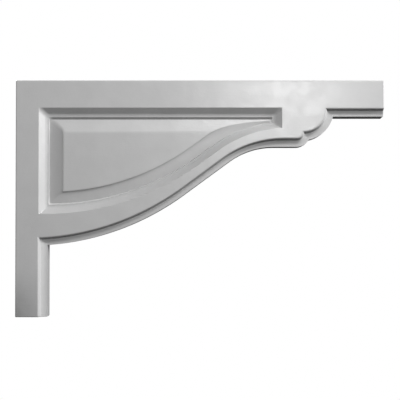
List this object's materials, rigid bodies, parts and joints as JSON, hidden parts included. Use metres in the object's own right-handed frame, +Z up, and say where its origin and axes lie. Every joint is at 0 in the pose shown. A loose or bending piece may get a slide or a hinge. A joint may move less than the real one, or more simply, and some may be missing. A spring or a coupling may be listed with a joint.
{
  "type": "stair bracket",
  "caption": "Flat moulded stair bracket: a leg and an arm joined by an ogee with a stepped nose, a recessed raised panel, a coved edge and a plain flat back.",
  "frame": {"origin": "on the flat back, where the centre line of the leg crosses the centre line of the top rail", "axes": "+X along the arm, away from the leg; +Y out of the flat back, into what carries the bracket; +Z up, to the top edge"},
  "size_m": [0.3044, 0.016, 0.1955],
  "materials": {
    "primed_casting": "white primer with a low sheen over a smooth casting"
  },
  "bodies": {
    "root": {"stair_bracket": "primed_casting"}
  },
  "joints": []
}
